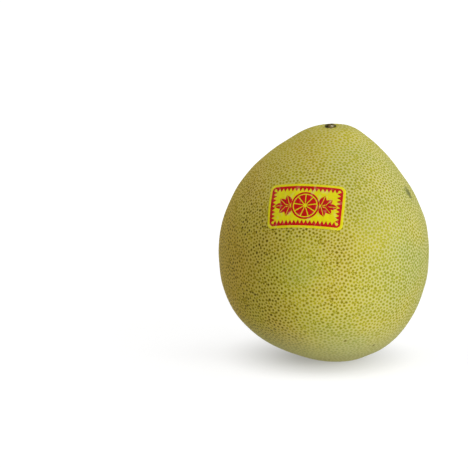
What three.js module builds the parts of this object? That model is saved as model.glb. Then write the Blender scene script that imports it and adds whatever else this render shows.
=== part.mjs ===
// A whole pomelo standing on its blossom end, with the calyx and a stub of stalk left on its crown
// and a paper label on its shoulder.
//
// Millimetres, +Z up. The origin is on the surface that the fruit stands on, under the middle of its
// outline. The fruit is seen from -Y, with the label a little to the left (-X).

import * as THREE from "three";

// Driving dimensions.
const FRUIT_WIDTH = 136; // across the widest part of the belly
const CROWN_HEIGHT = 151.7; // the flat crown round the stalk, at its middle
const DEPTH_SHARE = 0.985; // the fruit is slightly less deep than wide
const FLAT_SPOT_RADIUS = 12; // what the fruit's own weight presses flat
const CROWN_RADIUS = 11; // of that flat crown
const CALYX_RADIUS = 4.1;
const CALYX_HEIGHT = 1.8;
const STUB_RADIUS = 1.1;
const LABEL = { width: 49, height: 29.2, thickness: 0.5, cornerRadius: 3.5 };
const GAP = 0.3; // clearance between pieces that touch

const RADIUS = FRUIT_WIDTH / 2;

// The skin's outline beside the axis, as [radius, height], from the flat spot's edge over the belly
// and the sloping shoulder to the crown.
const OUTLINE = [
  [FLAT_SPOT_RADIUS, 0],
  [17.5, 1.1],
  [25, 4.2],
  [36, 9],
  [48, 18],
  [58.1, 31],
  [65.4, 48],
  [RADIUS, 70],
  [66.3, 88],
  [61.1, 103],
  [53.3, 117],
  [43.6, 129],
  [32.4, 139.2],
  [22.4, 146.2],
  [16, 150.2],
  [CROWN_RADIUS, CROWN_HEIGHT],
];
const skin = new THREE.CatmullRomCurve3(
  OUTLINE.map(([radius, height]) => new THREE.Vector3(radius, height, 0)),
  false,
  "centripetal",
);

// The fruit hung from a bent stalk, so its crown and its base both lie to the right of its belly.
const CROWN_LEAN = 4.4;
const CROWN_LEAN_FROM = 114;
const BASE_LEAN = 8.2;
const BASE_LEAN_BELOW = 57;

// How much of the crown's shape is felt at a height, from 0 at the belly to 1 at the crown.
function crownShare(height) {
  const rise = (height - CROWN_LEAN_FROM) / (CROWN_HEIGHT - CROWN_LEAN_FROM);
  return THREE.MathUtils.clamp(rise, 0, 1) ** 2;
}

function lean(height) {
  const down = THREE.MathUtils.clamp((BASE_LEAN_BELOW - height) / BASE_LEAN_BELOW, 0, 1);
  return CROWN_LEAN * crownShare(height) + BASE_LEAN * down ** 3;
}

// The crown isn't level. It slopes down to the front and a little to the left, in mm for each mm away
// from its middle.
const CROWN_SLOPE = new THREE.Vector2(0.04, 0.1);

function slope(x, y, height) {
  return (CROWN_SLOPE.x * x + CROWN_SLOPE.y * y) * crownShare(height);
}

// Soft lobes from the segments inside. Each is a share of the radius, a number of lobes round the
// fruit, a turn at the base and a twist in radians over the whole height. They fade out at both ends.
const SWELLS = [
  { share: 0.006, lobes: 2, turn: 0.9, twist: 0.6 },
  { share: 0.005, lobes: 3, turn: 2.0, twist: -0.9 },
  { share: 0.003, lobes: 7, turn: 0.4, twist: 1.2 },
];

function swell(angle, height) {
  const rise = THREE.MathUtils.clamp(height / CROWN_HEIGHT, 0, 1);
  const fade = Math.sin(Math.PI * rise);
  return SWELLS.reduce(
    (sum, s) => sum + s.share * fade * Math.cos(s.lobes * angle + s.turn + s.twist * rise),
    1,
  );
}

// The calyx isn't in the middle of the crown, and the skin round it is drawn over to it.
const CALYX_AT = new THREE.Vector2(-0.9, -1.2);
const SEAT_RIM = CALYX_RADIUS + 2.7;

function drawnOver(radius, height) {
  if (height < CROWN_HEIGHT / 2) return new THREE.Vector2();
  const near = 1 - THREE.MathUtils.smoothstep(radius, SEAT_RIM, CROWN_RADIUS);
  return CALYX_AT.clone().multiplyScalar(near);
}

// Where a point of the outline lies once it is turned by an angle about the axis.
function grown(radius, height, angle) {
  const reach = radius * swell(angle, height);
  const drawn = drawnOver(radius, height);
  const x = drawn.x + reach * Math.cos(angle);
  const y = drawn.y + DEPTH_SHARE * reach * Math.sin(angle);
  return new THREE.Vector3(lean(height) + x, y, height + slope(x, y, height));
}

// A LatheGeometry turns its points about Y. This moves each vertex to place(radius, height, angle).
function turned(points, segments, place) {
  const geometry = new THREE.LatheGeometry(points, segments);
  const at = geometry.attributes.position;
  for (let i = 0; i < at.count; i++) {
    const radius = Math.hypot(at.getX(i), at.getZ(i));
    const angle = Math.atan2(at.getX(i), at.getZ(i));
    at.setXYZ(i, ...place(radius, at.getY(i), angle).toArray());
  }
  geometry.computeVertexNormals();
  return geometry;
}

const point = (radius, height) => new THREE.Vector2(radius, height);

function material(name, color, roughness) {
  return new THREE.MeshStandardMaterial({ name, color, roughness, metalness: 0 });
}

function mesh(name, geometry, finish) {
  const piece = new THREE.Mesh(geometry, finish);
  piece.name = name;
  return piece;
}

// The fruit itself, one solid from rind to core. The flower left a small hollow scar in the middle of
// the flat spot, and the calyx sits in a shallow seat in the crown.
const SCAR_RADIUS = 3.2;
const SCAR_DEPTH = 0.6;
const SEAT_RADIUS = CALYX_RADIUS + 1.1;
const SEAT_DEPTH = 0.4;
const SEAT_HEIGHT = CROWN_HEIGHT - SEAT_DEPTH;
const SKIN_STEPS = 42;
const ROUND_STEPS = 72;

function fruit() {
  const scar = [
    point(0, SCAR_DEPTH),
    point(SCAR_RADIUS * 0.6, SCAR_DEPTH * 0.85),
    point(SCAR_RADIUS, 0),
  ];
  const outline = skin.getSpacedPoints(SKIN_STEPS).map((p) => point(p.x, p.y));
  const seat = [
    point(SEAT_RIM, CROWN_HEIGHT - SEAT_DEPTH / 3),
    point(SEAT_RADIUS, SEAT_HEIGHT),
    point(0, SEAT_HEIGHT),
  ];
  const profile = [...scar, ...outline, ...seat];
  return mesh("fruit", turned(profile, ROUND_STEPS, grown), material("peel", 0xb9b552, 0.5));
}

// What stays on the crown stands on the seat's floor, an offset to the right of its middle.
const onSeat = (offset) => (radius, height, angle) => {
  const x = CALYX_AT.x + offset + radius * Math.cos(angle);
  const y = CALYX_AT.y + radius * Math.sin(angle);
  const rise = SEAT_HEIGHT + GAP + height + slope(x, y, CROWN_HEIGHT);
  return new THREE.Vector3(lean(CROWN_HEIGHT) + x, y, rise);
};

// The calyx is a shallow woody cup whose rim has five worn lobes.
const CALYX_STEPS = 40;
const CALYX_LOBES = 5;
const LOBE_SHARE = 0.09;
const CUP_RADIUS = 3.3;
const CUP_FLOOR = 0.7;
const CALYX_EDGE = 0.4; // how far its edges are rounded off

function calyx() {
  const stand = onSeat(0);
  const lobed = (radius, height, angle) => {
    const worn = (radius / CALYX_RADIUS) ** 2;
    return stand(radius * (1 + LOBE_SHARE * worn * Math.cos(CALYX_LOBES * angle)), height, angle);
  };
  const profile = [
    point(0, 0),
    point(CALYX_RADIUS - CALYX_EDGE, 0),
    point(CALYX_RADIUS, CALYX_EDGE),
    point(CALYX_RADIUS, CALYX_HEIGHT - CALYX_EDGE),
    point(CALYX_RADIUS - CALYX_EDGE, CALYX_HEIGHT),
    point(CUP_RADIUS, CALYX_HEIGHT - CALYX_EDGE),
    point(CUP_RADIUS - CALYX_EDGE, CUP_FLOOR),
    point(0, CUP_FLOOR),
  ];
  return mesh("calyx", turned(profile, CALYX_STEPS, lobed), material("dried calyx", 0x6b6247, 0.85));
}

// The stalk broke off in the cup and left a pale stub with a sunken middle, to one side of it.
const STUB_STEPS = 20;
const STUB_OFFSET = 1.5;
const STUB_TOP = CALYX_HEIGHT - 0.1;
const STUB_HOLLOW = 0.2;

function stalkStub() {
  const foot = CUP_FLOOR + GAP;
  const profile = [
    point(0, foot),
    point(STUB_RADIUS, foot),
    point(STUB_RADIUS, STUB_TOP - STUB_HOLLOW),
    point(STUB_RADIUS * 0.7, STUB_TOP),
    point(0, STUB_TOP - STUB_HOLLOW),
  ];
  const stub = turned(profile, STUB_STEPS, onSeat(STUB_OFFSET));
  return mesh("stalk_stub", stub, material("stalk wood", 0xcfc39a, 0.8));
}

// The label is flat when it is cut, so it is laid on the cone that touches the skin at its middle.
const LABEL_HEIGHT = 107.6; // of its middle above the surface
const LABEL_ANGLE = THREE.MathUtils.degToRad(-104);
const LABEL_TILT = THREE.MathUtils.degToRad(0.5);
const LABEL_STEPS = [22, 12, 1];
const SLOPE_STEP = 1e-4;

// The share of the outline's length at a height, found by halving.
function shareAt(height) {
  let low = 0;
  let high = 1;
  while (high - low > 1e-7) {
    const middle = (low + high) / 2;
    if (skin.getPointAt(middle).y < height) low = middle;
    else high = middle;
  }
  return low;
}

// A point this far above the skin, at a share of the outline's length and an angle about the axis.
function above(share, angle, clearance) {
  const on = (s, a) => {
    const p = skin.getPointAt(s);
    return grown(p.x, p.y, a);
  };
  const here = on(share, angle);
  const round = on(share, angle + SLOPE_STEP).sub(here);
  const up = on(share + SLOPE_STEP, angle).sub(here);
  const outward = round.cross(up).normalize();
  return here.addScaledVector(outward, clearance);
}

// Rounds a rectangle's corners by drawing each corner square in to a quarter circle.
function rounded(x, y, { width, height, cornerRadius }) {
  const overX = Math.abs(x) - (width / 2 - cornerRadius);
  const overY = Math.abs(y) - (height / 2 - cornerRadius);
  if (overX <= 0 || overY <= 0) return [x, y];
  const draw = Math.max(overX, overY) / Math.hypot(overX, overY);
  return [x - Math.sign(x) * overX * (1 - draw), y - Math.sign(y) * overY * (1 - draw)];
}

function label() {
  const middle = shareAt(LABEL_HEIGHT);
  const radius = skin.getPointAt(middle).x;
  const tangent = skin.getTangentAt(middle);
  const apex = radius / -tangent.x; // the distance to the cone's apex, up the skin
  const length = skin.getLength();
  const geometry = new THREE.BoxGeometry(LABEL.width, LABEL.height, LABEL.thickness, ...LABEL_STEPS);
  const at = geometry.attributes.position;
  for (let i = 0; i < at.count; i++) {
    const [x, y] = rounded(at.getX(i), at.getY(i), LABEL);
    const right = x * Math.cos(LABEL_TILT) - y * Math.sin(LABEL_TILT);
    const up = x * Math.sin(LABEL_TILT) + y * Math.cos(LABEL_TILT);
    const turn = Math.atan2(right, apex - up) * (apex / radius);
    const climb = apex - Math.hypot(right, apex - up);
    const clearance = GAP + LABEL.thickness / 2 + at.getZ(i);
    at.setXYZ(i, ...above(middle + climb / length, LABEL_ANGLE + turn, clearance).toArray());
  }
  geometry.computeVertexNormals();
  return mesh("label", geometry, material("label paper", 0xf2dc1e, 0.35));
}

const pomelo = new THREE.Group();
pomelo.name = "pomelo";
pomelo.add(fruit(), calyx(), stalkStub(), label());

export default pomelo;
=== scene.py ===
"""A whole pomelo dressed for close views: pitted peel, woody calyx, broken stalk and a paper label.

It stands on its blossom end, in metres, +Z up, with its label towards -Y and a little to the left.
"""

import math
import random

import bmesh
import bpy
from bpy.props import FloatProperty, FloatVectorProperty, IntProperty, PointerProperty
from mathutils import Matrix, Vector, noise
from mathutils.bvhtree import BVHTree


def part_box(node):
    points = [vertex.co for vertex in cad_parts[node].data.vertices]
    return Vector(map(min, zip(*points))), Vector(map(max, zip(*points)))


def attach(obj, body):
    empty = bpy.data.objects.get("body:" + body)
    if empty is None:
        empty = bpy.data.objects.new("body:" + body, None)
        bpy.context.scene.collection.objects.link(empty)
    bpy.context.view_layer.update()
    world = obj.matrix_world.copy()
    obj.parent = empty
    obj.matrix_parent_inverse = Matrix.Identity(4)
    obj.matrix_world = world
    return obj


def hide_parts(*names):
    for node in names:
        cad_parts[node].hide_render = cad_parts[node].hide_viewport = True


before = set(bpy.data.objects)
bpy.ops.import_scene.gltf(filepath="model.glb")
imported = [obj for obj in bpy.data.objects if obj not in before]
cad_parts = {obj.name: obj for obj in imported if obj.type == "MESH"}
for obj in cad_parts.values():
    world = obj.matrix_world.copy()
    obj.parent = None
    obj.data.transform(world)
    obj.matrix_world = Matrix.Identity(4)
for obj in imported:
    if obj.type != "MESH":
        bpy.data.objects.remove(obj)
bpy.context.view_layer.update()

bl_info = {
    "name": "Pomelo",
    "version": (1, 0, 0),
    "blender": (4, 5, 0),
    "location": "3D View > Sidebar > Pomelo",
    "description": "Builds a whole pomelo with its calyx and label, and the floor that it stands on",
    "category": "Object",
}

MM = 0.001
BODY = "root"
GOLDEN_ANGLE = math.pi * (3 - math.sqrt(5))
MERGE_DISTANCE = 0.002 * MM

CROWN_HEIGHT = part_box("fruit")[1].z
LEFT_SIDE, RIGHT_SIDE = (corner.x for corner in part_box("fruit"))
FRUIT_MIDDLE = Vector((0, 0, CROWN_HEIGHT / 2))
CALYX_MIDDLE = sum(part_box("calyx"), Vector()) / 2
STUB_MIDDLE = sum(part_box("stalk_stub"), Vector()) / 2
CROWN_SLOPE = (0.04, 0.1)  # the crown's rise to the right and to the back
BASE_MIDDLE = Vector((8.2 * MM, 0, 0))  # of the flat spot that the fruit rests on


def linear(colour):
    """The linear colour of an sRGB hex value, with full alpha."""
    parts = [(colour >> shift & 0xFF) / 255 for shift in (16, 8, 0)]
    return tuple(p / 12.92 if p <= 0.04045 else ((p + 0.055) / 1.055) ** 2.4 for p in parts) + (1.0,)


# Sizes and colours that a user would change.


class PeelSettings(bpy.types.PropertyGroup):
    """The peel's oil glands, net and colours."""

    glands: IntProperty(
        name="Glands", description="How many oil glands the peel has",
        default=11000, min=500, max=11000,
    )
    gland_radius: FloatProperty(
        name="Gland radius", description="Half of the width of a dark gland",
        default=0.86 * MM, unit="LENGTH",
    )
    pit_depth: FloatProperty(
        name="Pit depth", description="How far a gland is sunk below the net round it",
        default=0.22 * MM, unit="LENGTH",
    )
    net: FloatVectorProperty(
        name="Net", description="The peel between the glands",
        size=4, subtype="COLOR", default=linear(0xCABE28),
    )
    # The ripe colours are dark and warm, as they also paint the shade of the left side.
    net_warm: FloatVectorProperty(
        name="Ripe net", description="The net where the fruit ripened most",
        size=4, subtype="COLOR", default=linear(0xD0B02A),
    )
    net_green: FloatVectorProperty(
        name="Green net", description="The net where the fruit is still green",
        size=4, subtype="COLOR", default=linear(0xA8AF3C),
    )
    wax: FloatVectorProperty(
        name="Wax", description="The pale crests of the net",
        size=4, subtype="COLOR", default=linear(0xE0D9A0),
    )
    gland: FloatVectorProperty(
        name="Gland", description="The oil glands",
        size=4, subtype="COLOR", default=linear(0x625500),
    )
    gland_warm: FloatVectorProperty(
        name="Ripe gland", description="The oil glands where the fruit ripened most",
        size=4, subtype="COLOR", default=linear(0x4A3C00),
    )
    gland_green: FloatVectorProperty(
        name="Green gland", description="The oil glands where the fruit is still green",
        size=4, subtype="COLOR", default=linear(0x767E20),
    )
    # Painted sheen: the pale light that the floor throws up onto the base.
    base_sheen: FloatVectorProperty(
        name="Bloom", description="The pale waxy film on the base",
        size=4, subtype="COLOR", default=linear(0xC0C28C),
    )
    scar: FloatVectorProperty(
        name="Scar", description="Healed scrapes and the flower's scar",
        size=4, subtype="COLOR", default=linear(0x777A44),
    )
    speck: FloatVectorProperty(
        name="Speck", description="Single glands that dried out",
        size=4, subtype="COLOR", default=linear(0x685620),
    )


class CalyxSettings(bpy.types.PropertyGroup):
    """The dried calyx and the stub of stalk in it."""

    radius: FloatProperty(
        name="Calyx radius", description="Half of the width of the calyx",
        default=3.5 * MM, unit="LENGTH",
    )
    height: FloatProperty(
        name="Calyx height", description="From its foot to its rim",
        default=1.75 * MM, unit="LENGTH",
    )
    bark: FloatVectorProperty(
        name="Bark", description="The weathered rim",
        size=4, subtype="COLOR", default=linear(0x6A6A40),
    )
    torn: FloatVectorProperty(
        name="Torn fibres", description="The inside of the cup",
        size=4, subtype="COLOR", default=linear(0xBCA268),
    )
    # Painted shade: the dark left of the cup, where its hollow lies in shade.
    hollow_shade: FloatVectorProperty(
        name="Hollow", description="The dark side of the cup, where the stalk tore out",
        size=4, subtype="COLOR", default=linear(0x2E1E08),
    )
    stub_radius: FloatProperty(
        name="Stub radius", description="Half of the width of the stub",
        default=0.85 * MM, unit="LENGTH",
    )
    stub_height: FloatProperty(
        name="Stub height", description="From the cup's floor to its top",
        default=0.7 * MM, unit="LENGTH",
    )
    wood: FloatVectorProperty(
        name="Wood", description="The broken stalk wood",
        size=4, subtype="COLOR", default=linear(0xD6CFAE),
    )


class LabelSettings(bpy.types.PropertyGroup):
    """The paper label and its print."""

    width: FloatProperty(name="Width", description="Along its longer side", default=49 * MM, unit="LENGTH")
    height: FloatProperty(
        name="Height", description="Along its shorter side",
        default=29.2 * MM, unit="LENGTH",
    )
    corner: FloatProperty(
        name="Corner", description="Radius of its corners",
        default=3.5 * MM, unit="LENGTH",
    )
    paper: FloatVectorProperty(
        name="Paper", description="The label's ground",
        size=4, subtype="COLOR", default=linear(0xEEE404),
    )
    ink: FloatVectorProperty(
        name="Ink", description="The label's print",
        size=4, subtype="COLOR", default=linear(0xCC0A02),
    )
    # Pale spots: rubbed wear and painted highlights of the creases.
    scuff_glint: FloatVectorProperty(
        name="Scuff", description="Rubbed spots on the paper and the print",
        size=4, subtype="COLOR", default=linear(0xE6D6A0),
    )


class StageSettings(bpy.types.PropertyGroup):
    """The floor, the light and the camera."""

    floor: FloatVectorProperty(
        name="Floor", description="The paper sweep under and behind the fruit",
        size=4, subtype="COLOR", default=linear(0x989898),
    )
    elevation: FloatProperty(
        name="Camera elevation", description="How far the camera looks down",
        default=math.radians(8), subtype="ANGLE",
    )
    distance: FloatProperty(
        name="Camera distance", description="From the camera to the fruit",
        default=1.3, unit="LENGTH",
    )


# Shared ways of working.


def add(tree, kind, inputs=None, **settings):
    """Adds a shader node with its settings, and sets or links its inputs."""
    node = tree.nodes.new("ShaderNode" + kind)
    for name, value in settings.items():
        setattr(node, name, value)
    for name, value in (inputs or {}).items():
        if isinstance(value, bpy.types.NodeSocket):
            tree.links.new(value, node.inputs[name])
        else:
            node.inputs[name].default_value = value
    return node


def new_material(name):
    """A material and its node tree, which is still empty."""
    material = bpy.data.materials.new(name)
    material.use_nodes = True
    material.node_tree.nodes.clear()
    return material, material.node_tree


def closed_copy(node):
    """A bmesh of a CAD node, with its loose triangles joined."""
    bm = bmesh.new()
    bm.from_mesh(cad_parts[node].data)
    bmesh.ops.remove_doubles(bm, verts=bm.verts, dist=MERGE_DISTANCE)
    return bm


SKIN_CUTS = 2
SKIN_PASSES = 8
SKIN_SMOOTHING = 0.5  # how far a pass moves a point to the middle of those round it
PLAIN_BELOW, PLAIN_ABOVE = 0.4 * MM, 1.2 * MM  # from the floor and from the crown, left as they are
DENT_DEPTH = 0.3 * MM
DENT_SIZE = 13 * MM
DENTS_START = 8 * MM  # the height at which the dents have their full depth


def skin_surface():
    """The fruit's CAD surface with its facets smoothed away and slight dents, to cast rays at."""
    bm = closed_copy("fruit")
    bmesh.ops.subdivide_edges(bm, edges=bm.edges, cuts=SKIN_CUTS, use_grid_fill=True)
    bmesh.ops.triangulate(bm, faces=bm.faces)
    body = [v for v in bm.verts if PLAIN_BELOW < v.co.z < CROWN_HEIGHT - PLAIN_ABOVE]
    for _ in range(SKIN_PASSES):
        bmesh.ops.smooth_vert(bm, verts=body, factor=SKIN_SMOOTHING,
                              use_axis_x=True, use_axis_y=True, use_axis_z=True)
    bm.normal_update()
    for v in body:
        depth = DENT_DEPTH * min(1, v.co.z / DENTS_START)
        v.co += v.normal * depth * noise.noise(v.co / DENT_SIZE)
    tree = BVHTree.FromBMesh(bm)
    bm.free()
    return tree


SKIN = skin_surface()


def skin_at(azimuth, height):
    """The point of the skin in a direction from the axis, in degrees, at a height."""
    out = Vector((math.cos(math.radians(azimuth)), math.sin(math.radians(azimuth)), 0))
    return SKIN.ray_cast(Vector((0, 0, height)), out)[0]


def new_object(name, bm, material):
    """Makes an object of a bmesh, at the origin."""
    mesh = bpy.data.meshes.new(name)
    bm.to_mesh(mesh)
    bm.free()
    mesh.materials.append(material)
    piece = bpy.data.objects.new(name, mesh)
    bpy.context.scene.collection.objects.link(piece)
    return piece


def finished(bm, name, material, replaced=None):
    """Makes a smooth-shaded object of a bmesh, which rides on the fruit."""
    piece = new_object(name, bm, material)
    for polygon in piece.data.polygons:
        polygon.use_smooth = True
    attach(piece, BODY)
    if replaced:
        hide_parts(replaced)
    return piece


def mottled(tree, colour, pattern, start, end, darkest, lightest):
    """The colour, darker and lighter as a pattern goes from one value to another."""
    shade = add(tree, "MapRange", {"Value": pattern, "From Min": start, "From Max": end,
                                   "To Min": darkest, "To Max": lightest})
    return add(tree, "VectorMath", {0: colour, "Scale": shade.outputs["Result"]},
               operation="SCALE").outputs["Vector"]


# The peel.

GLAND_SEED = 7
GLAND_SHAKE = 0.35  # how far a gland starts out of its row, in gland spacings
SMALLEST, USUAL, LARGEST = 0.55, 1.05, 1.35  # a gland's size, to the usual spacing
FINER_UPWARDS = 0.1  # how much smaller the glands are at the crown, and larger at the base
SETTLING_ROUNDS = 14
SETTLING_PUSH = 0.14  # how much of a wrong gap each of two glands makes up in a round
GAP_CUTS = 2  # between two glands, which gives each gland a ring of points and the net its ridges
RING_SHARE = 0.4  # what is left of a gland's depth a third of the way to the next
SMALL_SEED = 5
SMALL_GLANDS = 0.16  # the share of the places between three glands that hold a small one
SMALL_DEPTH = 0.5  # its depth, to a usual gland's
RIDGE_REACH = math.sqrt(3)  # a ridge's distance from the glands round it, to that of their rings


def settled_directions(count):
    """A ball of directions for glands of many sizes, which have pushed each other to fitting gaps."""
    chance = random.Random(GLAND_SEED)
    spacing = math.sqrt(8 * math.pi / (math.sqrt(3) * count))  # of as many in an even honeycomb
    bm = bmesh.new()
    size = bm.verts.layers.float.new("size")
    for i in range(count):
        height = 1 - (2 * i + 1) / count
        reach = math.sqrt(1 - height * height)
        turn = GOLDEN_ANGLE * i
        even = Vector((reach * math.cos(turn), reach * math.sin(turn), height))
        shake = Vector([chance.gauss(0, GLAND_SHAKE * spacing) for _ in range(3)])
        gland = bm.verts.new((even + shake).normalized())
        gland[size] = chance.triangular(SMALLEST, LARGEST, USUAL) * (1 - FINER_UPWARDS * height)
    for _ in range(SETTLING_ROUNDS):
        bmesh.ops.convex_hull(bm, input=bm.verts)
        for edge in bm.edges:
            one, other = edge.verts
            gap = other.co - one.co
            wanted = spacing * (one[size] + other[size]) / 2
            push = gap * (wanted / gap.length - 1) * SETTLING_PUSH
            one.co -= push
            other.co += push
        for gland in bm.verts:
            gland.co.normalize()
        bmesh.ops.delete(bm, geom=bm.edges, context="EDGES_FACES")
    bmesh.ops.convex_hull(bm, input=bm.verts)
    return bm


def mark_glands(bm, count):
    """Says how far each vertex lies from its gland's middle, which way, and how large that gland is.

    Midway between glands the ways cancel out, so a short way and a long reach tell the net's lines.
    """
    reach = bm.verts.layers.float["reach"]
    size = bm.verts.layers.float["size"]
    way = bm.verts.layers.float_vector["way"]
    bm.verts.ensure_lookup_table()
    middles = bm.verts[:count]  # those made by the cuts come after them
    rings = set()
    for middle in middles:
        for edge in middle.link_edges:
            ring = edge.other_vert(middle)
            ring[reach] = edge.calc_length()
            ring[size] = middle[size]
            ring[way] = ring.co - middle.co
            rings.add(ring)
    small = bm.verts.layers.float["small"]
    chance = random.Random(SMALL_SEED)
    ridges = [v for v in bm.verts[count:] if v not in rings]
    for ridge in ridges:
        near = [edge.other_vert(ridge) for edge in ridge.link_edges]
        ridge[reach] = RIDGE_REACH * sum(v[reach] for v in near) / len(near)
        ridge[size] = sum(v[size] for v in near) / len(near)
        ridge[small] = float(chance.random() < SMALL_GLANDS)
    return middles, rings, ridges


SCARS = (  # azimuth and height of a healed scrape, half its length and half its width
    (-22, 111.5 * MM, 4.6 * MM, 2.8 * MM),
    (68, 96 * MM, 6.5 * MM, 1.6 * MM),
    (142, 52 * MM, 3.2 * MM, 2.2 * MM),
)
FLOWER_SCAR_RADIUS = 3.4 * MM
SCAR_BAY = 1.3 * MM  # the size of the bays and bulges in a scar's outline
SCAR_RAGGEDNESS = 0.9  # how deep they are, to the scar's half size
SCAR_END = 1.25  # how far a smooth scar would reach, to its half size
SCAR_SHARPNESS = 1.4  # how quickly it sets in from there
SPECK_SEED = 3
SPECKS = 13
LEFT_SPECK = (-157.6, 91 * MM)  # azimuth and height of one more
SPECK_RING = 0.2  # how much of a speck's colour spreads round its gland


def mark_scars(bm):
    """Marks healed scrapes and the scar that the flower left, from 0 for sound peel to 1."""
    scar = bm.verts.layers.float["scar"]
    scrapes = [(skin_at(azimuth, height), length, width) for azimuth, height, length, width in SCARS]
    scrapes.append((BASE_MIDDLE, FLOWER_SCAR_RADIUS, FLOWER_SCAR_RADIUS))
    for v in bm.verts:
        ragged = SCAR_RAGGEDNESS * noise.noise(v.co / SCAR_BAY)
        for middle, length, width in scrapes:
            away = v.co - middle
            reach = math.hypot(away.z / length, away.xy.length / width)
            v[scar] = max(v[scar], min(1, (SCAR_END - reach + ragged) * SCAR_SHARPNESS))


def mark_specks(bm, middles):
    """Marks single glands that dried out."""
    speck = bm.verts.layers.float["speck"]
    left = skin_at(*LEFT_SPECK)
    dried = random.Random(SPECK_SEED).sample(middles, SPECKS)
    dried.append(min(middles, key=lambda v: (v.co - left).length))
    for gland in dried:
        gland[speck] = 1
        for edge in gland.link_edges:
            edge.other_vert(gland)[speck] = SPECK_RING


COLLAR_HEIGHT = 0.42 * MM
COLLAR_RADIUS = 4.3 * MM
COLLAR_IN, COLLAR_OUT = 1.0 * MM, 4.5 * MM  # how far its two slopes reach
COLLAR_LEAN = 0.7  # how much higher it is in front, and lower behind, as a share
COLLAR_WAVE = 3 * MM  # the size of the rises and dips along it
COLLAR_RAGGEDNESS = 0.6  # how high they are, as a share


def raise_collar(bm):
    """Draws the skin up round the calyx, in an uneven lip."""
    for v in bm.verts:
        flat = (v.co - CALYX_MIDDLE).xy
        away = flat.length - COLLAR_RADIUS
        slope = COLLAR_IN if away < 0 else COLLAR_OUT
        if abs(away) < slope and v.co.z > CROWN_HEIGHT / 2:
            ragged = 1 + COLLAR_RAGGEDNESS * noise.noise(v.co / COLLAR_WAVE)
            leaning = 1 - COLLAR_LEAN * flat.y / flat.length
            v.co.z += COLLAR_HEIGHT * ragged * leaning * (1 - abs(away) / slope) ** 2


def make_peel(settings):
    """Casts the glands on the skin, cuts each gap between them in three and sinks the glands."""
    bm = settled_directions(settings.glands)
    for v in bm.verts:
        v.co = SKIN.ray_cast(FRUIT_MIDDLE, v.co)[0]
    bmesh.ops.recalc_face_normals(bm, faces=bm.faces)
    for name in ("reach", "small", "scar", "speck"):
        bm.verts.layers.float.new(name)
    bm.verts.layers.float_vector.new("way")
    bmesh.ops.subdivide_edges(bm, edges=bm.edges, cuts=GAP_CUTS, use_grid_fill=True)
    bmesh.ops.triangulate(bm, faces=bm.faces)
    middles, rings, ridges = mark_glands(bm, settings.glands)
    mark_scars(bm)
    mark_specks(bm, middles)
    raise_collar(bm)
    bm.normal_update()
    size = bm.verts.layers.float["size"]
    scar = bm.verts.layers.float["scar"]
    small = bm.verts.layers.float["small"]
    moves = [(v, settings.pit_depth) for v in middles]
    moves += [(v, settings.pit_depth * RING_SHARE) for v in rings]
    moves += [(v, settings.pit_depth * SMALL_DEPTH * v[small]) for v in ridges]
    for v, depth in moves:
        v.co -= v.normal * depth * v[size] * (1 - v[scar])
        v.co.z = max(v.co.z, 0)
    return finished(bm, "peel", peel_material(settings), "fruit")


RIPE_SHADED_SIDE, GREEN_SIDE = 0.85, -0.75  # ripeness at the left side and at the right side; the warmer, darker left is painted shade and painted warm bounce light
CLOUD = 30 * MM  # the usual size of a riper or greener patch
CLOUD_RIPENESS = 1.5  # how far the patches swing the ripeness
STRAY = 30 * MM  # how far the patches' outlines wander
# Riper (+) and greener (-) patches that show most: azimuth, height and radius in mm, and ripeness. The
# greener one at -92 and 34 mm, low in front, is painted shade.
PATCHES = (
    (-112, 137, 22, 0.3), (-66, 132, 26, -0.4), (-81, 84, 22, 0.4), (-86, 68, 20, 0.35),
    (-112, 64, 26, -0.5), (-45, 66, 30, -0.5), (-62, 30, 20, 0.1), (-110, 22, 22, 0.3),
    (-72, 16, 26, -0.6), (-22, 88, 22, 0.3), (-30, 28, 24, 0.2), (-165, 66, 48, 0.5),
    (-135, 39, 28, -0.4), (-92, 34, 28, -0.5),
)


def patch_ripeness_and_shade(tree, place):
    """How ripe the peel is, from -1 for green to 1 for golden; its rise to the left also paints shade
    there.
    """
    cloud = add(tree, "TexNoise", {"Vector": place, "Scale": 1 / CLOUD, "Detail": 3.0, "Roughness": 0.6})
    across = add(tree, "SeparateXYZ", {"Vector": place}).outputs["X"]
    ripeness_and_shade = add(tree, "MapRange", {"Value": across, "From Min": LEFT_SIDE, "From Max": RIGHT_SIDE,
                                      "To Min": RIPE_SHADED_SIDE - CLOUD_RIPENESS / 2,
                                      "To Max": GREEN_SIDE - CLOUD_RIPENESS / 2}).outputs["Result"]
    ripeness_and_shade = add(tree, "Math", {0: cloud.outputs["Fac"], 1: CLOUD_RIPENESS, 2: ripeness_and_shade},
                   operation="MULTIPLY_ADD").outputs["Value"]
    strayed = add(tree, "VectorMath", {0: cloud.outputs["Color"], 1: (STRAY, STRAY, STRAY), 2: place},
                  operation="MULTIPLY_ADD").outputs["Vector"]
    usual_stray = Vector((STRAY, STRAY, STRAY)) / 2
    for azimuth, height, radius, amount in PATCHES:
        middle = skin_at(azimuth, height * MM) + usual_stray
        reach = add(tree, "VectorMath", {0: strayed, 1: middle}, operation="DISTANCE")
        patch = add(tree, "MapRange", {"Value": reach.outputs["Value"], "From Max": radius * MM,
                                       "To Min": amount, "To Max": 0.0}, interpolation_type="SMOOTHSTEP")
        ripeness_and_shade = add(tree, "Math", {0: ripeness_and_shade, 1: patch.outputs["Result"]},
                       operation="ADD").outputs["Value"]
    return ripeness_and_shade


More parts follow.
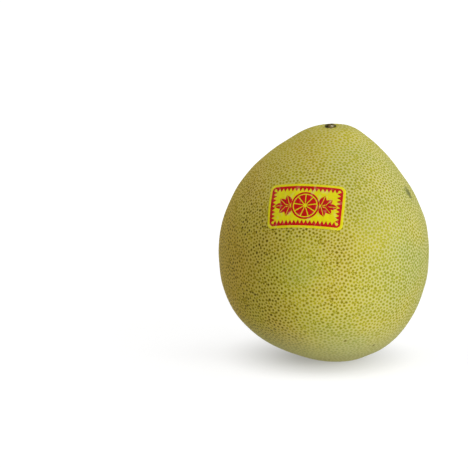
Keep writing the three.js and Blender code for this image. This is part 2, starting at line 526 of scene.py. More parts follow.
FAINTEST = 0.7  # how dark the smallest glands are, to the largest
GREENEST, RIPEST = -1.0, 0.8  # the ripeness between which the glands get darker
GREEN_STRENGTH, RIPE_STRENGTH = 0.8, 1.05
FADE_START, FADE_END = 112 * MM, 146 * MM  # heights between which the glands fade to the crown
CROWN_STRENGTH = 0.42
BASE_SHEEN_FULL, BASE_SHEEN_END = 8 * MM, 36 * MM  # heights between which the painted sheen of the floor's light on the base thins out
# how dark the glands are in the base's painted sheen, to elsewhere
BASE_SHEEN_STRENGTH = 0.75
LIT_FADE_START, LIT_FADE_END = -25 * MM, 45 * MM  # places between which the glands fade to the right, as painted light on the lit side
LIT_FADE_STRENGTH = 0.62
FAINT_PATCH = (-58, 91 * MM)  # azimuth and height of the place where the glands are faintest
FAINT_REACH = 26 * MM
FAINT_CORE = 0.3 * FAINT_REACH
FAINT_STRENGTH = 0.38
# Two patterns, of pale patches and of single pale glands: a pattern's size and detail, its values for
# the palest glands and for usual ones, and how dark the palest are.
PALE_PATTERNS = ((26 * MM, 2.0, 0.35, 0.6, 0.75), (2.4 * MM, 0.0, 0.35, 0.55, 0.7))


def gland_strength(tree, place, size, ripeness_and_shade):
    """How dark a gland is: fainter if small or green, near the crown or in a pale place, and as painted
    light to the right and at the base; darker on the left as painted shade.
    """
    across, _, height = add(tree, "SeparateXYZ", {"Vector": place}).outputs
    faint = add(tree, "VectorMath", {0: place, 1: skin_at(*FAINT_PATCH)}, operation="DISTANCE")
    rules = [
        (size, SMALLEST, LARGEST, FAINTEST, 1.0),
        (ripeness_and_shade, GREENEST, RIPEST, GREEN_STRENGTH, RIPE_STRENGTH),
        (height, FADE_START, FADE_END, 1.0, CROWN_STRENGTH),
        (height, BASE_SHEEN_FULL, BASE_SHEEN_END, BASE_SHEEN_STRENGTH, 1.0),
        (across, LIT_FADE_START, LIT_FADE_END, 1.0, LIT_FADE_STRENGTH),
        (faint.outputs["Value"], FAINT_CORE, FAINT_REACH, FAINT_STRENGTH, 1.0),
    ]
    for width, detail, palest, usual, least in PALE_PATTERNS:
        cloud = add(tree, "TexNoise", {"Vector": place, "Scale": 1 / width, "Detail": detail})
        rules.append((cloud.outputs["Fac"], palest, usual, least, 1.0))
    strength = 1.0
    for value, start, end, first, last in rules:
        share = add(tree, "MapRange", {"Value": value, "From Min": start, "From Max": end,
                                       "To Min": first, "To Max": last}, interpolation_type="SMOOTHSTEP")
        strength = add(tree, "Math", {0: strength, 1: share.outputs["Result"]},
                       operation="MULTIPLY").outputs["Value"]
    return strength


def ripened_colours(tree, settings, ripeness_and_shade):
    """The colours of the net and of the glands: warm where the peel is ripe, and cool where it is green; on
    the left the warm ones also paint shade.
    """
    ripe = add(tree, "MapRange", {"Value": ripeness_and_shade}).outputs["Result"]
    green = add(tree, "MapRange", {"Value": ripeness_and_shade, "From Min": 0.0, "From Max": -1.0}).outputs["Result"]
    colours = []
    for usual, warm, cool in ((settings.net, settings.net_warm, settings.net_green),
                              (settings.gland, settings.gland_warm, settings.gland_green)):
        mixed = add(tree, "Mix", {"Factor": ripe, "A": usual, "B": warm}, data_type="RGBA")
        mixed = add(tree, "Mix", {"Factor": green, "A": mixed.outputs["Result"], "B": cool},
                    data_type="RGBA")
        colours.append(mixed.outputs["Result"])
    return colours


UNEVEN = 1.3 * MM  # the size of the bays and bulges in a gland's outline
UNEVENNESS = 0.8  # how deep they are, to the gland's radius
DOT_CORE, DOT_EDGE = 0.45, 1.05  # to that radius, where a gland's colour starts to thin and where it ends
SMALL_EDGE, SMALL_CORE = 0.15, 0.6  # the same for a small gland, by its mark, which is 1 in its middle
SMALL_STRENGTH = 0.75  # how dark a small gland is, to a usual one


def gland_dots(tree, place, marks, radius):
    """How much of a gland's colour there is at a place: from the usual glands and from the small ones."""
    uneven = add(tree, "TexNoise", {"Vector": place, "Scale": 1 / UNEVEN, "Detail": 1.0}).outputs["Fac"]
    middle = UNEVENNESS / 2
    share = add(tree, "Math", {0: marks["reach"], 1: radius}, operation="DIVIDE")
    share = add(tree, "Math", {0: uneven, 1: UNEVENNESS, 2: share.outputs["Value"]},
                operation="MULTIPLY_ADD")
    usual = add(tree, "MapRange", {"Value": share.outputs["Value"], "From Min": DOT_CORE + middle,
                                   "From Max": DOT_EDGE + middle, "To Min": 1.0, "To Max": 0.0},
                interpolation_type="SMOOTHSTEP")
    mark = add(tree, "Math", {0: uneven, 1: -UNEVENNESS, 2: marks["small"]}, operation="MULTIPLY_ADD")
    small = add(tree, "MapRange", {"Value": mark.outputs["Value"], "From Min": SMALL_EDGE - middle,
                                   "From Max": SMALL_CORE - middle, "To Max": SMALL_STRENGTH},
                interpolation_type="SMOOTHSTEP")
    return usual.outputs["Result"], small.outputs["Result"]


LEFT_WAX_SHEEN, RIGHT_WAX_SHEEN = 0.12, 0.72  # how much wax hides of the net's crests, from side to side; the more on the right is painted sheen
UPPER_SHEEN = 0.13  # what the upper peel has more, as painted light
UPPER_SHEEN_START, UPPER_SHEEN_END = 85 * MM, 125 * MM
CREST_START, CREST_FULL = 0.1, 0.75  # of the reach less the way, to a gland's radius


def crest_wax_and_sheen(tree, place, marks, radius, small):
    """How much wax hides the net on its crests, which run midway between the glands, with painted sheen to
    the right and upwards.
    """
    across, _, height = add(tree, "SeparateXYZ", {"Vector": place}).outputs
    # Painted sheen: the pale crests show more to the right and on the upper peel.
    upper = add(tree, "MapRange", {"Value": height, "From Min": UPPER_SHEEN_START, "From Max": UPPER_SHEEN_END,
                                   "To Max": UPPER_SHEEN})
    wax = add(tree, "MapRange", {"Value": across, "From Min": LEFT_SIDE, "From Max": RIGHT_SIDE,
                                 "To Min": LEFT_WAX_SHEEN, "To Max": RIGHT_WAX_SHEEN})
    wax = add(tree, "Math", {0: wax.outputs["Result"], 1: upper.outputs["Result"]}, operation="ADD")
    way = add(tree, "Attribute", attribute_name="way").outputs["Vector"]
    straight = add(tree, "VectorMath", {0: way}, operation="LENGTH")
    ridge = add(tree, "Math", {0: marks["reach"], 1: straight.outputs["Value"]}, operation="SUBTRACT")
    ridge = add(tree, "Math", {0: ridge.outputs["Value"], 1: radius}, operation="DIVIDE")
    crest_and_sheen = add(tree, "MapRange", {"Value": ridge.outputs["Value"], "From Min": CREST_START,
                                   "From Max": CREST_FULL, "To Max": wax.outputs["Value"]},
                interpolation_type="SMOOTHSTEP")
    return add(tree, "Math", {0: crest_and_sheen.outputs["Result"], 1: small}, operation="SUBTRACT",
               use_clamp=True).outputs["Value"]


BASE_SHEEN = 0.48  # how much of the base's colour its painted sheen hides
GRAIN = 0.7 * MM  # the wax's grain, drawn as coarse as it has to be to show


def peel_material(settings):
    """Citrus peel: wax over a pale net, with glands of darker oil sunk in it, and painted light, sheen and
    shade across it.
    """
    material, tree = new_material("citrus peel")
    place = add(tree, "TexCoord").outputs["Object"]
    marks = {name: add(tree, "Attribute", attribute_name=name).outputs["Fac"]
             for name in ("reach", "size", "small", "scar", "speck")}
    ripeness_and_shade = patch_ripeness_and_shade(tree, place)
    net, gland = ripened_colours(tree, settings, ripeness_and_shade)
    radius = add(tree, "Math", {0: marks["size"], 1: settings.gland_radius},
                 operation="MULTIPLY").outputs["Value"]
    usual, small = gland_dots(tree, place, marks, radius)
    dark = add(tree, "Math", {0: usual, 1: small}, operation="MAXIMUM")
    dark = add(tree, "Math", {0: dark.outputs["Value"],
                              1: gland_strength(tree, place, marks["size"], ripeness_and_shade)},
               operation="MULTIPLY")
    crest_and_sheen = crest_wax_and_sheen(tree, place, marks, radius, small)
    height = add(tree, "SeparateXYZ", {"Vector": place}).outputs["Z"]
    base_sheen = add(tree, "MapRange", {"Value": height, "From Min": BASE_SHEEN_FULL, "From Max": BASE_SHEEN_END,
                                   "To Min": BASE_SHEEN, "To Max": 0.0}, interpolation_type="SMOOTHSTEP")
    colour = net
    for amount, over in ((crest_and_sheen, settings.wax), (dark.outputs["Value"], gland),
                         (base_sheen.outputs["Result"], settings.base_sheen), (marks["scar"], settings.scar),
                         (marks["speck"], settings.speck)):
        colour = add(tree, "Mix", {"Factor": amount, "A": colour, "B": over},
                     data_type="RGBA").outputs["Result"]
    grain = add(tree, "TexNoise", {"Vector": place, "Scale": 1 / GRAIN, "Detail": 2.0})
    bump = add(tree, "Bump", {"Height": grain.outputs["Fac"], "Strength": 0.25, "Distance": 0.08 * MM})
    shader = add(tree, "BsdfPrincipled", {"Base Color": colour, "Roughness": 0.6, "IOR": 1.45,
                                          "Specular IOR Level": 0.1, "Normal": bump.outputs["Normal"]})
    add(tree, "OutputMaterial", {"Surface": shader.outputs["BSDF"]})
    return material


# The calyx and the stub of stalk.


def spun(profile, steps):
    """A closed bmesh turned round the Z axis from [radius, height] points that start and end on it."""
    bm = bmesh.new()
    points = [bm.verts.new((radius, 0, height)) for radius, height in profile]
    for one, other in zip(points, points[1:]):
        bm.edges.new((one, other))
    bmesh.ops.spin(bm, geom=bm.verts[:] + bm.edges[:], cent=(0, 0, 0), axis=(0, 0, 1), angle=2 * math.pi,
                   steps=steps, use_merge=True, use_duplicate=False)
    bmesh.ops.remove_doubles(bm, verts=bm.verts, dist=MERGE_DISTANCE)
    bmesh.ops.recalc_face_normals(bm, faces=bm.faces)
    return bm


def set_on_crown(bm, middle):
    """Moves a piece from the origin to its place, leaning as the crown does."""
    for v in bm.verts:
        v.co.z += CROWN_SLOPE[0] * v.co.x + CROWN_SLOPE[1] * v.co.y
        v.co += middle


# Shares of the calyx's radius and height: under it, up its outside, over its rim and down into its cup.
CALYX_PROFILE = (
    (0, -0.3), (0.8, -0.3), (0.94, -0.1), (0.99, 0.2), (1, 0.5), (0.99, 0.75), (0.96, 0.93), (0.91, 1),
    (0.86, 0.93), (0.83, 0.75), (0.81, 0.5), (0.76, 0.25), (0.6, 0.13), (0.3, 0.12), (0, 0.12),
)
CALYX_STEPS = 90
CALYX_FOOT = CALYX_MIDDLE.z - 0.9 * MM
CALYX_LOBES = 5
LOBE_SHARE = 0.09
WORN_SIDE = Vector((-0.25, -0.97))  # the rim is worn down to the front
WORN_SHARE = 0.97  # of the rim's height, where it is worn most
CRACKLE = 0.3 * MM  # how far the bark's cracks and wrinkles reach
CRACKS_AROUND = 9  # the rim's radius, in widths of a crack
CRACK_HEIGHT = 2.5 * MM


def make_calyx(settings):
    """Turns the cup, wears its rim down in front, and gives it lobes and cracks."""
    profile = [(out * settings.radius, up * settings.height) for out, up in CALYX_PROFILE]
    bm = spun(profile, CALYX_STEPS)
    for v in bm.verts:
        flat = v.co.xy
        if flat.length < MERGE_DISTANCE:
            continue
        out = flat.length / settings.radius
        turn = math.atan2(flat.y, flat.x)
        rim = max(0, v.co.z / settings.height)
        worn = (1 + flat.dot(WORN_SIDE) / settings.radius) / 2
        v.co.z *= 1 - WORN_SHARE * worn
        crack = noise.noise(Vector((CRACKS_AROUND * math.cos(turn), CRACKS_AROUND * math.sin(turn),
                                    v.co.z / CRACK_HEIGHT)))
        swell = 1 + LOBE_SHARE * out * out * math.cos(CALYX_LOBES * turn)
        v.co.x *= swell
        v.co.y *= swell
        v.co += CRACKLE * crack * Vector((math.cos(turn), math.sin(turn), rim))
    set_on_crown(bm, Vector((*CALYX_MIDDLE.xy, CALYX_FOOT)))
    return finished(bm, "calyx_bark", calyx_material(settings), "calyx")


RIM_START, RIM_FULL = 0.7, 0.92  # to the radius, where the cup's inside turns to bark
HOLLOW_SHADE_END, TORN_START = -0.45, 0.25  # to the radius from left to right, where the painted shade in the cup turns to fibres
FIBRE = 0.6 * MM  # the fibres, drawn as coarse as they have to be to show
FIBRE_TONES = (0.35, 0.65, 0.55, 1.15)  # the pattern's two values, and how dark and light it gets there


def calyx_material(settings):
    """Dried calyx: matt grey-green bark round torn brown fibres, with painted shade on the left of the cup.
    """
    material, tree = new_material("dried calyx bark")
    place = add(tree, "TexCoord").outputs["Object"]
    centred = add(tree, "VectorMath", {0: place, 1: CALYX_MIDDLE}, operation="SUBTRACT")
    parts = add(tree, "SeparateXYZ", {"Vector": centred.outputs["Vector"]})
    level = add(tree, "CombineXYZ", {"X": parts.outputs["X"], "Y": parts.outputs["Y"]})
    out = add(tree, "VectorMath", {0: level.outputs["Vector"]}, operation="LENGTH")
    rim = add(tree, "MapRange", {"Value": out.outputs["Value"], "From Min": RIM_START * settings.radius,
                                 "From Max": RIM_FULL * settings.radius})
    torn = add(tree, "MapRange", {"Value": parts.outputs["X"], "From Min": HOLLOW_SHADE_END * settings.radius,
                                  "From Max": TORN_START * settings.radius})
    inside = add(tree, "Mix", {"Factor": torn.outputs["Result"], "A": settings.hollow_shade, "B": settings.torn},
                 data_type="RGBA")
    bark = add(tree, "Mix", {"Factor": rim.outputs["Result"], "A": inside.outputs["Result"],
                             "B": settings.bark}, data_type="RGBA")
    fibres = add(tree, "TexNoise", {"Vector": place, "Scale": 1 / FIBRE, "Detail": 4.0}).outputs["Fac"]
    tone = mottled(tree, bark.outputs["Result"], fibres, *FIBRE_TONES)
    bump = add(tree, "Bump", {"Height": fibres, "Strength": 0.6, "Distance": 0.15 * MM})
    shader = add(tree, "BsdfPrincipled", {"Base Color": tone, "Roughness": 0.85, "IOR": 1.45,
                                          "Specular IOR Level": 0.1, "Normal": bump.outputs["Normal"]})
    add(tree, "OutputMaterial", {"Surface": shader.outputs["BSDF"]})
    return material


# Shares of the stub's radius and height: under it, up its side and over its broken, hollow end.
STUB_PROFILE = (
    (0, -0.4), (1, -0.4), (1.02, 0.2), (1, 0.7), (0.93, 0.95), (0.82, 1), (0.66, 0.93), (0.5, 0.82),
    (0.3, 0.78), (0, 0.8),
)
STUB_STEPS = 40
STUB_FOOT = CALYX_FOOT + 0.3 * MM
SPLINTER = 0.14 * MM  # how far the broken end's splinters reach
SPLINTER_WIDTH = 0.35 * MM
PORE = 0.28 * MM  # the wood's pores, drawn as coarse as they have to be to show
PORE_TONES = (0.05, 0.45, 0.55, 1.05)


def make_stub(settings):
    """Turns the stub and splinters its upper end."""
    profile = [(out * settings.stub_radius, up * settings.stub_height) for out, up in STUB_PROFILE]
    bm = spun(profile, STUB_STEPS)
    for v in bm.verts:
        v.co.z += SPLINTER * noise.noise(v.co / SPLINTER_WIDTH) * max(0, v.co.z / settings.stub_height)
    set_on_crown(bm, Vector((*STUB_MIDDLE.xy, STUB_FOOT)))
    return finished(bm, "stalk_stub_wood", stub_material(settings), "stalk_stub")


def stub_material(settings):
    """Stalk wood: pale and matt, with darker pores across its broken end."""
    material, tree = new_material("broken stalk wood")
    place = add(tree, "TexCoord").outputs["Object"]
    pores = add(tree, "TexVoronoi", {"Vector": place, "Scale": 1 / PORE}).outputs["Distance"]
    tone = mottled(tree, settings.wood[:3], pores, *PORE_TONES)
    bump = add(tree, "Bump", {"Height": pores, "Strength": 0.5, "Distance": 0.08 * MM})
    shader = add(tree, "BsdfPrincipled", {"Base Color": tone, "Roughness": 0.8, "IOR": 1.45,
                                          "Normal": bump.outputs["Normal"]})
    add(tree, "OutputMaterial", {"Surface": shader.outputs["BSDF"]})
    return material


# The label and its print. Both are drawn flat, in the label's own x and y, and then laid on the skin.

LABEL_HEIGHT = 107.6 * MM  # of its middle
LABEL_ANGLE = math.radians(-104)
LABEL_TILT = math.radians(0.5)
LABEL_STEP = 0.7 * MM
PAPER_LIFT = 0.06 * MM  # from the skin to the underside of the paper
PAPER_THICKNESS = 0.16 * MM
INK_THICKNESS = 0.03 * MM
INK_SUNK = INK_THICKNESS / 3  # into the paper
WRINKLE = 0.16 * MM  # how far the paper's creases stand off the skin
CREASE_WIDTH, CREASE_LENGTH = 3.2 * MM, 11 * MM
CREASE_SEED = 5


class Laying:
    """Lays flat shapes on the cone that touches the skin at the label's middle, and then on the skin."""

    def __init__(self):
        here = self.reach(LABEL_HEIGHT)
        slope = (self.reach(LABEL_HEIGHT + LABEL_STEP) - here) / LABEL_STEP
        self.up = Vector((slope, 1)).normalized()
        self.radius = here
        self.apex = here / -self.up.x

    def reach(self, height):
        """The distance from the axis to the skin at a height, towards the label."""
        return skin_at(math.degrees(LABEL_ANGLE), height).xy.length

    def lay(self, x, y, lift):
        """The place of a point of the flat label, at a distance from the skin."""
        right = x * math.cos(LABEL_TILT) - y * math.sin(LABEL_TILT)
        up = x * math.sin(LABEL_TILT) + y * math.cos(LABEL_TILT)
        angle = LABEL_ANGLE + math.atan2(right, self.apex - up) * self.apex / self.radius
        climb = self.apex - math.hypot(right, self.apex - up)
        out = self.radius + climb * self.up.x
        near = Vector((out * math.cos(angle), out * math.sin(angle), LABEL_HEIGHT + climb * self.up.y))
        place, normal = SKIN.find_nearest(near)[:2]
        return place + normal * (lift + self.wrinkle(x, y))

    def wrinkle(self, x, y):
        """How far the paper stands off the skin: small creases that run up and down."""
        crease = noise.noise(Vector((x / CREASE_WIDTH, y / CREASE_LENGTH, CREASE_SEED)))
        return WRINKLE * max(0, crease)


def lay_sheet(bm, thickness, lift):
    """Gives a flat sheet its thickness and lays it over the skin, at a distance from it."""
    bmesh.ops.solidify(bm, geom=bm.faces, thickness=thickness)
    lowest = min(v.co.z for v in bm.verts)
    bmesh.ops.translate(bm, vec=(0, 0, -lowest), verts=bm.verts)
    laying = Laying()
    for v in bm.verts:
        v.co = laying.lay(v.co.x, v.co.y, lift + v.co.z)
    bmesh.ops.recalc_face_normals(bm, faces=bm.faces)


def draw_in_corners(bm, width, height, corner):
    """Rounds a rectangle's corners by drawing each corner square in to a quarter circle."""
    for v in bm.verts:
        over = Vector((abs(v.co.x) - (width / 2 - corner), abs(v.co.y) - (height / 2 - corner)))
        if min(over) > 0:
            drawn = over * (1 - max(over) / over.length)
            v.co.x -= math.copysign(drawn.x, v.co.x)
            v.co.y -= math.copysign(drawn.y, v.co.y)


def make_label(settings):
    """Lays a sheet with round corners on the shoulder."""
    bm = bmesh.new()
    across, along = (round(side / LABEL_STEP) for side in (settings.width, settings.height))
    bmesh.ops.create_grid(bm, x_segments=across, y_segments=along, size=0.5)
    bmesh.ops.scale(bm, vec=(settings.width, settings.height, 1), verts=bm.verts)
    draw_in_corners(bm, settings.width, settings.height, settings.corner)
    lay_sheet(bm, PAPER_THICKNESS, PAPER_LIFT)
    return finished(bm, "label_paper", paper_material(settings), "label")


SCUFF = (3 * MM, 3 * MM, 8 * MM)  # the usual size of a pale spot: rubbed wear with a painted highlight of a crease
SCUFF_EDGE, SCUFF_CORE = 0.56, 0.7  # the pattern's values between which a pale spot sets in
SCUFF_GLINT_SHARE = 0.35  # how much of the colour a pale spot takes off
MOTTLE = 2.2 * MM  # the size of the paper's mottle
MOTTLE_TONES = (0.3, 0.7, 0.92, 1.05)


def scuffed_and_glinting(tree, place, colour, scuff_glint):
    """The colour with pale spots along its creases: rubbed wear, and painted highlights where the creases
    catch the light.
    """
    stretched = add(tree, "Mapping", {"Vector": place, "Scale": [1 / size for size in SCUFF]})
    spots = add(tree, "TexNoise", {"Vector": stretched.outputs["Vector"], "Scale": 1.0, "Detail": 4.0})
    amount = add(tree, "MapRange", {"Value": spots.outputs["Fac"], "From Min": SCUFF_EDGE,
                                    "From Max": SCUFF_CORE, "To Max": SCUFF_GLINT_SHARE})
    return add(tree, "Mix", {"Factor": amount.outputs["Result"], "A": colour, "B": scuff_glint},
               data_type="RGBA").outputs["Result"]


def paper_material(settings):
    """Coated label paper: smooth, with a soft gloss and a faint mottle where it is creased."""
    material, tree = new_material("coated label paper")
    place = add(tree, "TexCoord").outputs["Object"]
    mottle = add(tree, "TexNoise", {"Vector": place, "Scale": 1 / MOTTLE, "Detail": 3.0}).outputs["Fac"]
    tone = mottled(tree, settings.paper[:3], mottle, *MOTTLE_TONES)
    bump = add(tree, "Bump", {"Height": mottle, "Strength": 0.3, "Distance": 0.1 * MM})
    shader = add(tree, "BsdfPrincipled", {"Base Color": scuffed_and_glinting(tree, place, tone, settings.scuff_glint),
                                          "Roughness": 0.38, "IOR": 1.5, "Specular IOR Level": 0.2,
                                          "Normal": bump.outputs["Normal"]})
    add(tree, "OutputMaterial", {"Surface": shader.outputs["BSDF"]})
    return material


def outline_ring(bm, outer, inner):
    """A flat band between two closed outlines of as many points each."""
    loops = []
    for outline in (outer, inner):
        verts = [bm.verts.new(point) for point in outline]
        loops += [bm.edges.new(pair) for pair in zip(verts, verts[1:] + verts[:1])]
    bmesh.ops.bridge_loops(bm, edges=loops)


def arc(middle, radius, start, end, steps):
    """Points along an arc, with both of its ends."""
    turns = [start + (end - start) * i / steps for i in range(steps + 1)]
    return [Vector((middle[0] + radius * math.cos(t), middle[1] + radius * math.sin(t), 0)) for t in turns]


CORNER_STEPS = 8


def rounded_outline(width, height, corner):
    """A rectangle with round corners, drawn anticlockwise."""
    outline = []
    for quarter, (sx, sy) in enumerate(((1, 1), (-1, 1), (-1, -1), (1, -1))):
        middle = (sx * (width / 2 - corner), sy * (height / 2 - corner))
        outline += arc(middle, corner, quarter * math.pi / 2, (quarter + 1) * math.pi / 2, CORNER_STEPS)
    return outline


def filled(bm, outline):
    """A flat face with this outline."""
    bm.faces.new([bm.verts.new(point) for point in outline])


BORDER_INSET = 1.6 * MM
BORDER_LINE = 1.3 * MM
TOOTH_STEP = 2.6 * MM
TOOTH_LENGTH = 2.4 * MM
WHEEL_RADIUS = 8.9 * MM
WHEEL_STEPS = 72
WHEEL_SEGMENTS = 9
# To the wheel's radius: the inside of its rind, a segment's tip and far end, and half of its blunt tip.
RIND, TIP, FAR_END, BLUNT_TIP = 0.87, 0.13, 0.8, 0.02
HALF_SEGMENT = 0.43  # to the turn from one segment to the next
SEGMENT_STEPS = 8
LEAF_LENGTH = 7.0 * MM
LEAF_WIDTH = 4.6 * MM
LEAF_STEPS = 12
LEAF_BULGE = 0.8  # under 1, a leaf is widest nearer to its foot
MIDRIB = (0.9, 0.5, 0.12)  # places along it, to the leaf's length
HALF_MIDRIB = 0.04  # to the leaf's width
TWIG_GAP = 0.9 * MM  # between the wheel and a twig
TWIG_LENGTH = 4.4 * MM
HALF_TWIG = 0.3 * MM
LEAF_PAIRS = ((0.02, 1.25, 1.0), (0.55, 0.8, 0.9))  # place along the twig, lean in radians and size
TIP_LEAF = 0.85


def draw_border(bm, width, height, corner):
    """A line round the label, a little in from its edge."""
    sides = [side - 2 * BORDER_INSET for side in (width, height)]
    inner_sides = [side - 2 * BORDER_LINE for side in sides]
    outer_corner = corner - BORDER_INSET / 2
    outline_ring(bm, rounded_outline(*sides, outer_corner),
                 rounded_outline(*inner_sides, outer_corner - BORDER_LINE))


def draw_teeth(bm, width, height, corner):
    """A row of teeth that point inwards from each side of the border, between its corners."""
    for across, along in ((width, height), (height, width)):
        row = across - 2 * (corner + BORDER_INSET / 2)
        count = round(row / TOOTH_STEP)
        foot = along / 2 - BORDER_INSET - BORDER_LINE
        for i in range(count):
            start, end = (row * (k / count - 0.5) for k in (i, i + 1))
            for side in (1, -1):
                tooth = [(start, side * foot), (end, side * foot),
                         ((start + end) / 2, side * (foot - TOOTH_LENGTH))]
                filled(bm, [Vector((*(point if across == width else point[::-1]), 0)) for point in tooth])


def draw_wheel(bm):
    """A slice of citrus: a ring of rind round its segments."""
    steps = WHEEL_STEPS - 1
    full = 2 * math.pi * steps / WHEEL_STEPS
    outline_ring(bm, arc((0, 0), WHEEL_RADIUS, 0, full, steps),
                 arc((0, 0), RIND * WHEEL_RADIUS, 0, full, steps))
    share = 2 * math.pi / WHEEL_SEGMENTS
    for i in range(WHEEL_SEGMENTS):
        turn = share * (i + 0.5) + math.pi / 2
        along = Vector((math.cos(turn), math.sin(turn), 0))
        across = Vector((-along.y, along.x, 0))
        tip = along * TIP * WHEEL_RADIUS
        blunt = across * BLUNT_TIP * WHEEL_RADIUS
        far = arc((0, 0), FAR_END * WHEEL_RADIUS, turn - HALF_SEGMENT * share, turn + HALF_SEGMENT * share,
                  SEGMENT_STEPS)
        filled(bm, [tip - blunt, *far, tip + blunt])


def draw_leaf(bm, foot, turn, size):
    """A pointed leaf that grows from its foot, split by a bare midrib."""
    length, width = LEAF_LENGTH * size, LEAF_WIDTH * size
    along = Vector((math.cos(turn), math.sin(turn), 0))
    across = Vector((-along.y, along.x, 0))
    for side in (1, -1):
        edge = []
        for i in range(LEAF_STEPS + 1):
            t = i / LEAF_STEPS
            bulge = math.sin(math.pi * t ** LEAF_BULGE)
            edge.append(foot + along * length * t + across * side * width / 2 * bulge)
        rib = [foot + along * length * t + across * side * HALF_MIDRIB * width for t in MIDRIB]
        filled(bm, edge + rib)


def draw_sprig(bm, side):
    """A twig with two pairs of leaves and one at its tip, that points away from the wheel."""
    start = Vector((side * (WHEEL_RADIUS + TWIG_GAP), 0, 0))
    end = start + Vector((side * TWIG_LENGTH, 0, 0))
    half = Vector((0, HALF_TWIG, 0))
    filled(bm, [start - half, end - half, end + half, start + half])
    out = 0 if side > 0 else math.pi
    for t, lean, size in LEAF_PAIRS:
        for way in (1, -1):
            draw_leaf(bm, start.lerp(end, t) + way * half, out + side * way * lean, size)
    draw_leaf(bm, end, out, TIP_LEAF)


def make_print(settings):
    """Draws the label's print, cuts it as finely as the paper and lays it on that."""
    bm = bmesh.new()
    draw_border(bm, settings.width, settings.height, settings.corner)
    draw_teeth(bm, settings.width, settings.height, settings.corner)
    draw_wheel(bm)
    for side in (1, -1):
        draw_sprig(bm, side)
    for axis, length in ((Vector((1, 0, 0)), settings.width), (Vector((0, 1, 0)), settings.height)):
        for i in range(round(length / LABEL_STEP)):
            cut = axis * (i * LABEL_STEP - length / 2)
            everything = bm.verts[:] + bm.edges[:] + bm.faces[:]
            bmesh.ops.bisect_plane(bm, geom=everything, plane_co=cut, plane_no=axis)
    bmesh.ops.triangulate(bm, faces=bm.faces)
    for face in bm.faces:
        if face.normal.z < 0:
            face.normal_flip()
    lay_sheet(bm, INK_THICKNESS, PAPER_LIFT + PAPER_THICKNESS - INK_SUNK)
    return finished(bm, "label_print", ink_material(settings))


RUB = 1.5 * MM  # the size of a paler place in the ink
RUB_TONES = (0.3, 0.75, 0.85, 1.2)


def ink_material(settings):
    """Offset ink on coated paper: even and slightly glossy."""
    material, tree = new_material("red printing ink")
    place = add(tree, "TexCoord").outputs["Object"]
    rub = add(tree, "TexNoise", {"Vector": place, "Scale": 1 / RUB, "Detail": 4.0}).outputs["Fac"]
    tone = mottled(tree, settings.ink[:3], rub, *RUB_TONES)
    shader = add(tree, "BsdfPrincipled", {"Base Color": scuffed_and_glinting(tree, place, tone, settings.scuff_glint),
                                          "Roughness": 0.4, "IOR": 1.5, "Specular IOR Level": 0.2})
    add(tree, "OutputMaterial", {"Surface": shader.outputs["BSDF"]})
    return material


# The stage.

IMAGE_PIXELS = 468
PIXEL = 0.648 * MM  # on the fruit, where the camera frames it
FRUIT_AT_PIXEL = (323.4, 242.3)  # where the fruit's middle stands in the frame
AIMED_HEIGHT = 76.5 * MM
SENSOR_WIDTH = 36.0


def aim(obj, target):
    """Turns a lamp or the camera to look at a point."""
    obj.rotation_euler = (Vector(target) - obj.location).to_track_quat("-Z", "Y").to_euler()


def make_camera(settings):
    """Sets the camera so that the fruit's middle stands where it should in the frame."""
    camera = bpy.data.cameras.new("camera")
    camera.sensor_width = SENSOR_WIDTH
    camera.lens = SENSOR_WIDTH * settings.distance / (IMAGE_PIXELS * PIXEL)
    holder = bpy.data.objects.new("camera", camera)
    bpy.context.scene.collection.objects.link(holder)
    down = settings.elevation
    forward = Vector((0, math.cos(down), -math.sin(down)))
    up = Vector((0, math.sin(down), math.cos(down)))
    across, rise = (PIXEL * (at - IMAGE_PIXELS / 2) for at in FRUIT_AT_PIXEL)
    target = Vector((0, 0, AIMED_HEIGHT)) - Vector((across, 0, 0)) + up * rise
    holder.location = target - forward * settings.distance
    aim(holder, target)
    bpy.context.scene.camera = holder


WHITE = (1, 1, 1, 1)
WORLD_GLOW = 0.32
LIT_POINT = (0, 0, 0.07)  # what the lamps look at
LAMPS = (  # name, place, width and watts
    ("key", (1.1, -0.95, 0.5), 0.9, 8.0),
    ("top", (0.25, -0.3, 1.5), 0.9, 4.5),
    ("left_back", (-1.2, 0.5, 1.0), 0.9, 4.3),
    ("right_back", (1.25, 0.45, 0.7), 0.9, 4.0),
    ("bounce", (0.04, -0.15, 0.004), 0.25, 0.11),
)


def make_lamp(name, place, size, watts):
    """A round, soft lamp that the camera doesn't see."""
    lamp = bpy.data.lights.new(name, "AREA")
    lamp.shape = "DISK"
    lamp.size = size
    lamp.energy = watts
    holder = bpy.data.objects.new(name, lamp)
    bpy.context.scene.collection.objects.link(holder)
    holder.location = place
    holder.visible_camera = False
    aim(holder, LIT_POINT)


FLOOR_RADIUS = 2.4
FLOOR_RINGS = (0, 0.3, 1, FLOOR_RADIUS)
WALL_HEIGHT = 2.2
STAGE_STEPS = 96
# The painted shadow round the fruit: its middle, shape and radius, and the glow under the fruit and out in
# the open.
SHADE_MIDDLE = (-3 * MM, 12 * MM, 0)
SHADE_SHAPE = (0.72, 1, 1)  # narrower than it is deep
SHADE_RADIUS = 0.096  # inside this the floor's glow slowly darkens to where the fruit stands, a painted shadow
LIT_RADIUS = 0.2  # past this it slowly brightens to meet the wall
UNDER_GLOW, OPEN_GLOW = 0.27, 0.78
WALL_GLOW = 1.05


def round_stage(name, material, profile):
    """A stage piece spun round the Z axis from [radius, height] points."""
    piece = new_object(name, spun(profile, STAGE_STEPS), material)
    return piece


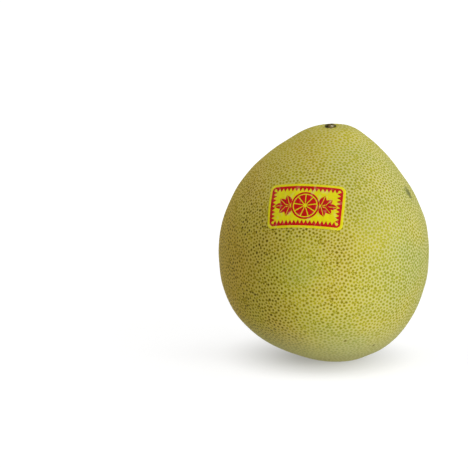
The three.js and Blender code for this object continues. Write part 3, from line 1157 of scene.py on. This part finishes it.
def floor_material(colour):
    """Matt white paper that glows, dimmed round the fruit as a painted shadow, with no horizon at its
    bright edge.
    """
    material, tree = new_material("white paper")
    place = add(tree, "TexCoord").outputs["Object"]
    centred = add(tree, "Mapping", {"Vector": place, "Location": SHADE_MIDDLE, "Scale": SHADE_SHAPE},
                  vector_type="TEXTURE")
    reach = add(tree, "VectorMath", {0: centred.outputs["Vector"]}, operation="LENGTH")
    shade = add(tree, "MapRange", {"Value": reach.outputs["Value"], "From Min": 0.0,
                                   "From Max": SHADE_RADIUS, "To Min": UNDER_GLOW, "To Max": OPEN_GLOW},
                interpolation_type="SMOOTHSTEP")
    glow = add(tree, "MapRange", {"Value": reach.outputs["Value"], "From Min": LIT_RADIUS,
                                  "From Max": FLOOR_RADIUS / 2, "To Min": shade.outputs["Result"],
                                  "To Max": 1.0})
    shader = add(tree, "BsdfPrincipled", {"Base Color": colour, "Roughness": 0.9, "Emission Color": WHITE,
                                          "Emission Strength": glow.outputs["Result"]})
    add(tree, "OutputMaterial", {"Surface": shader.outputs["BSDF"]})
    return material


def wall_material():
    """A white wall so evenly lit that it shows no shade."""
    material, tree = new_material("white wall")
    shader = add(tree, "Emission", {"Color": WHITE, "Strength": WALL_GLOW})
    add(tree, "OutputMaterial", {"Surface": shader.outputs["Emission"]})
    return material


def only_seen(piece):
    """The camera sees the piece, and it neither lights nor shades anything."""
    piece.visible_diffuse = False
    piece.visible_glossy = False
    piece.visible_shadow = False


def make_stage(settings):
    """Sets the camera, the floor, the wall round it and the lamps."""
    make_camera(settings)
    rings = [(radius, 0) for radius in FLOOR_RINGS]
    floor = round_stage("floor", floor_material(settings.floor), rings)
    floor.visible_diffuse = False  # its glow doesn't light the fruit: the bounce lamp does
    wall = [(FLOOR_RADIUS, 0), (FLOOR_RADIUS, WALL_HEIGHT), (0, WALL_HEIGHT)]
    only_seen(round_stage("wall", wall_material(), wall))
    world = bpy.data.worlds.new("studio")
    world.use_nodes = True
    background = world.node_tree.nodes["Background"].inputs
    background["Color"].default_value = WHITE
    background["Strength"].default_value = WORLD_GLOW
    bpy.context.scene.world = world
    bpy.context.scene.view_settings.view_transform = "Standard"
    for lamp in LAMPS:
        make_lamp(*lamp)


class POMELO_OT_peel(bpy.types.Operator):
    """Grow the pitted peel round the fruit"""

    bl_idname = "pomelo.peel"
    bl_label = "Peel"

    def execute(self, context):
        make_peel(context.scene.pomelo_peel)
        return {"FINISHED"}


class POMELO_OT_calyx(bpy.types.Operator):
    """Set the dried calyx and the stub of stalk on the crown"""

    bl_idname = "pomelo.calyx"
    bl_label = "Calyx and stub"

    def execute(self, context):
        make_calyx(context.scene.pomelo_calyx)
        make_stub(context.scene.pomelo_calyx)
        return {"FINISHED"}


class POMELO_OT_label(bpy.types.Operator):
    """Stick the printed label on the shoulder"""

    bl_idname = "pomelo.label"
    bl_label = "Label"

    def execute(self, context):
        make_label(context.scene.pomelo_label)
        make_print(context.scene.pomelo_label)
        return {"FINISHED"}


class POMELO_OT_stage(bpy.types.Operator):
    """Lay the floor and set the lights and the camera"""

    bl_idname = "pomelo.stage"
    bl_label = "Stage"

    def execute(self, context):
        make_stage(context.scene.pomelo_stage)
        return {"FINISHED"}


class POMELO_PT_panel(bpy.types.Panel):
    """Lists the operators that build the pomelo's pieces"""

    bl_idname = "POMELO_PT_panel"
    bl_label = "Pomelo"
    bl_space_type = "VIEW_3D"
    bl_region_type = "UI"
    bl_category = "Pomelo"

    def draw(self, context):
        for operator in OPERATORS:
            self.layout.operator(operator.bl_idname)


SETTINGS = {"pomelo_peel": PeelSettings, "pomelo_calyx": CalyxSettings, "pomelo_label": LabelSettings,
            "pomelo_stage": StageSettings}
OPERATORS = (POMELO_OT_stage, POMELO_OT_peel, POMELO_OT_calyx, POMELO_OT_label)


def register():
    for cls in (*SETTINGS.values(), *OPERATORS, POMELO_PT_panel):
        bpy.utils.register_class(cls)
    for name, cls in SETTINGS.items():
        setattr(bpy.types.Scene, name, PointerProperty(type=cls))


def unregister():
    for name in SETTINGS:
        delattr(bpy.types.Scene, name)
    for cls in (POMELO_PT_panel, *OPERATORS, *SETTINGS.values()):
        bpy.utils.unregister_class(cls)


def main():
    register()
    bpy.ops.pomelo.stage()
    bpy.ops.pomelo.peel()
    bpy.ops.pomelo.calyx()
    bpy.ops.pomelo.label()


if __name__ == "__main__":
    main()
